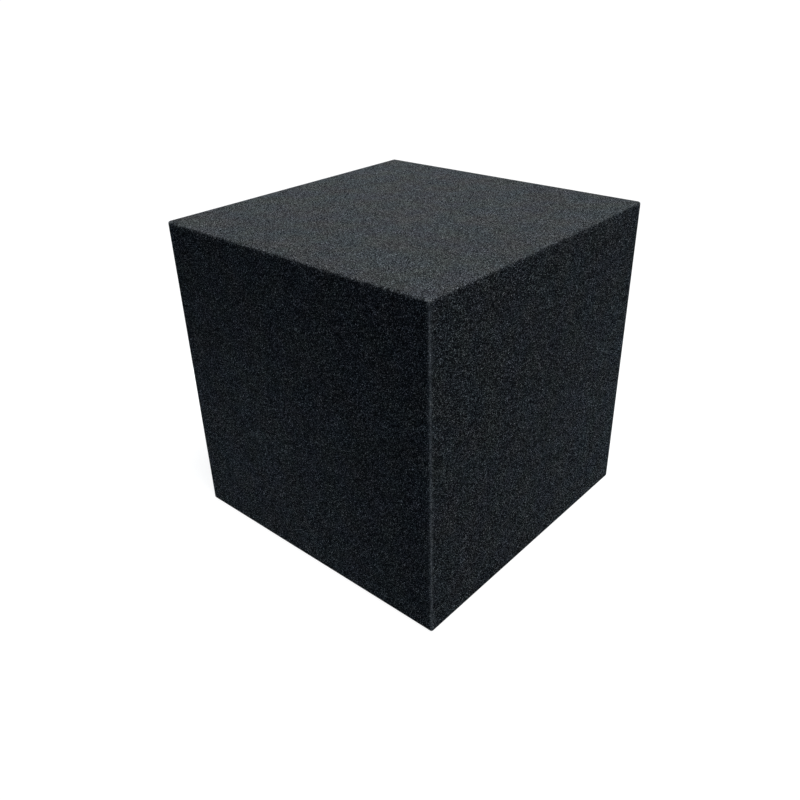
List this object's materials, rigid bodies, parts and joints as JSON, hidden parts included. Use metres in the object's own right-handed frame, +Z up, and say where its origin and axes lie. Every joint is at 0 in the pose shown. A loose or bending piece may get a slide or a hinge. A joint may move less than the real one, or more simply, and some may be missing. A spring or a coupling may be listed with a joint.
{
  "type": "corner bass trap",
  "caption": "Solid cube of open-cell acoustic foam that fills a room's corner, where two walls meet the floor or ceiling, and absorbs low-frequency sound.",
  "frame": {"origin": "centre of the face that the cube stands on", "axes": "+Z up; the room's two walls are behind -X and +Y; +X and -Y look into the room"},
  "size_m": [0.15, 0.15, 0.15],
  "materials": {
    "foam": "matte"
  },
  "bodies": {
    "root": {"foam_block": "foam"}
  },
  "joints": []
}
